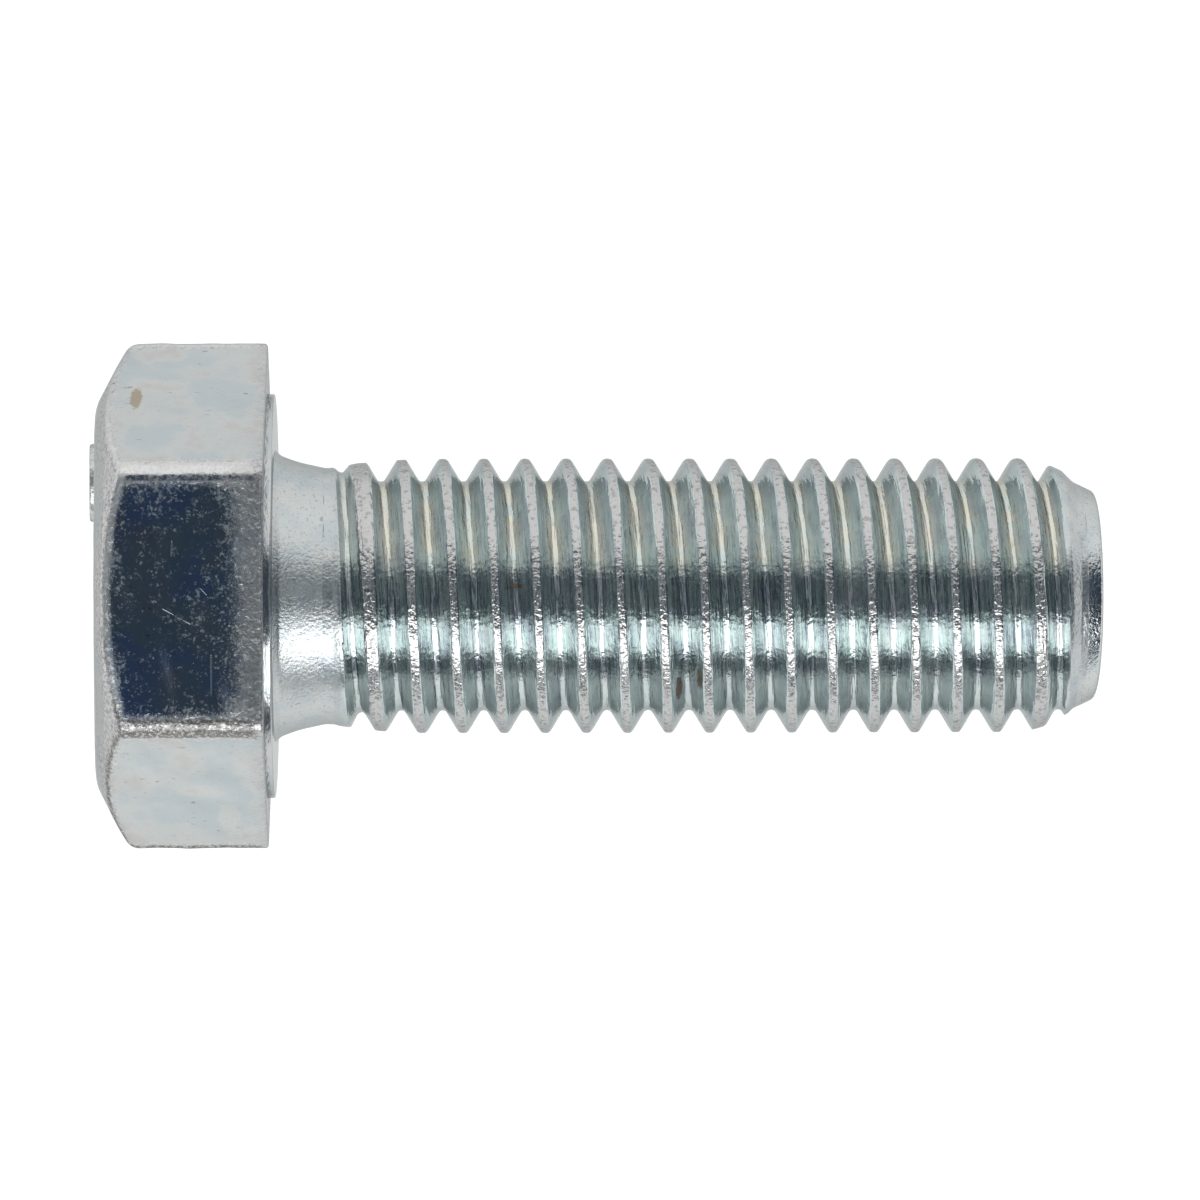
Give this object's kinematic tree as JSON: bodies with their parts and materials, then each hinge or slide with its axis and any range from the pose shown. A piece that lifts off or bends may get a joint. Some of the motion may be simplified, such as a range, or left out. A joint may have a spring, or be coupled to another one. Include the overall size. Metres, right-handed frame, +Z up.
{
  "type": "hexagon-head bolt",
  "caption": "Hexagon-head bolt threaded along its whole shank, with a round washer face under the head and a chamfered point, in bright zinc-plated steel.",
  "frame": {"origin": "centre of the bearing face, which is the outer face of the washer face under the head", "axes": "+X along the axis from the head to the chamfered end; +Z up, square to two opposite flats of the hexagon; +Y towards a corner of the hexagon"},
  "size_m": [0.0428, 0.0214, 0.0188],
  "materials": {
    "forged_head": "zinc-plated forged steel, satin and softly dented",
    "pressed_face": "zinc-plated steel, smooth and bright",
    "drawn_shank": "zinc-plated drawn steel with a fine satin grain",
    "rolled_thread": "zinc-plated rolled steel, mirror-like flanks with a blue tint and rough crests"
  },
  "bodies": {
    "root": {"hex_head": "forged_head", "raised_bar": "forged_head", "washer_face": "pressed_face", "neck": "drawn_shank", "thread": "rolled_thread", "point": "drawn_shank"}
  },
  "joints": []
}
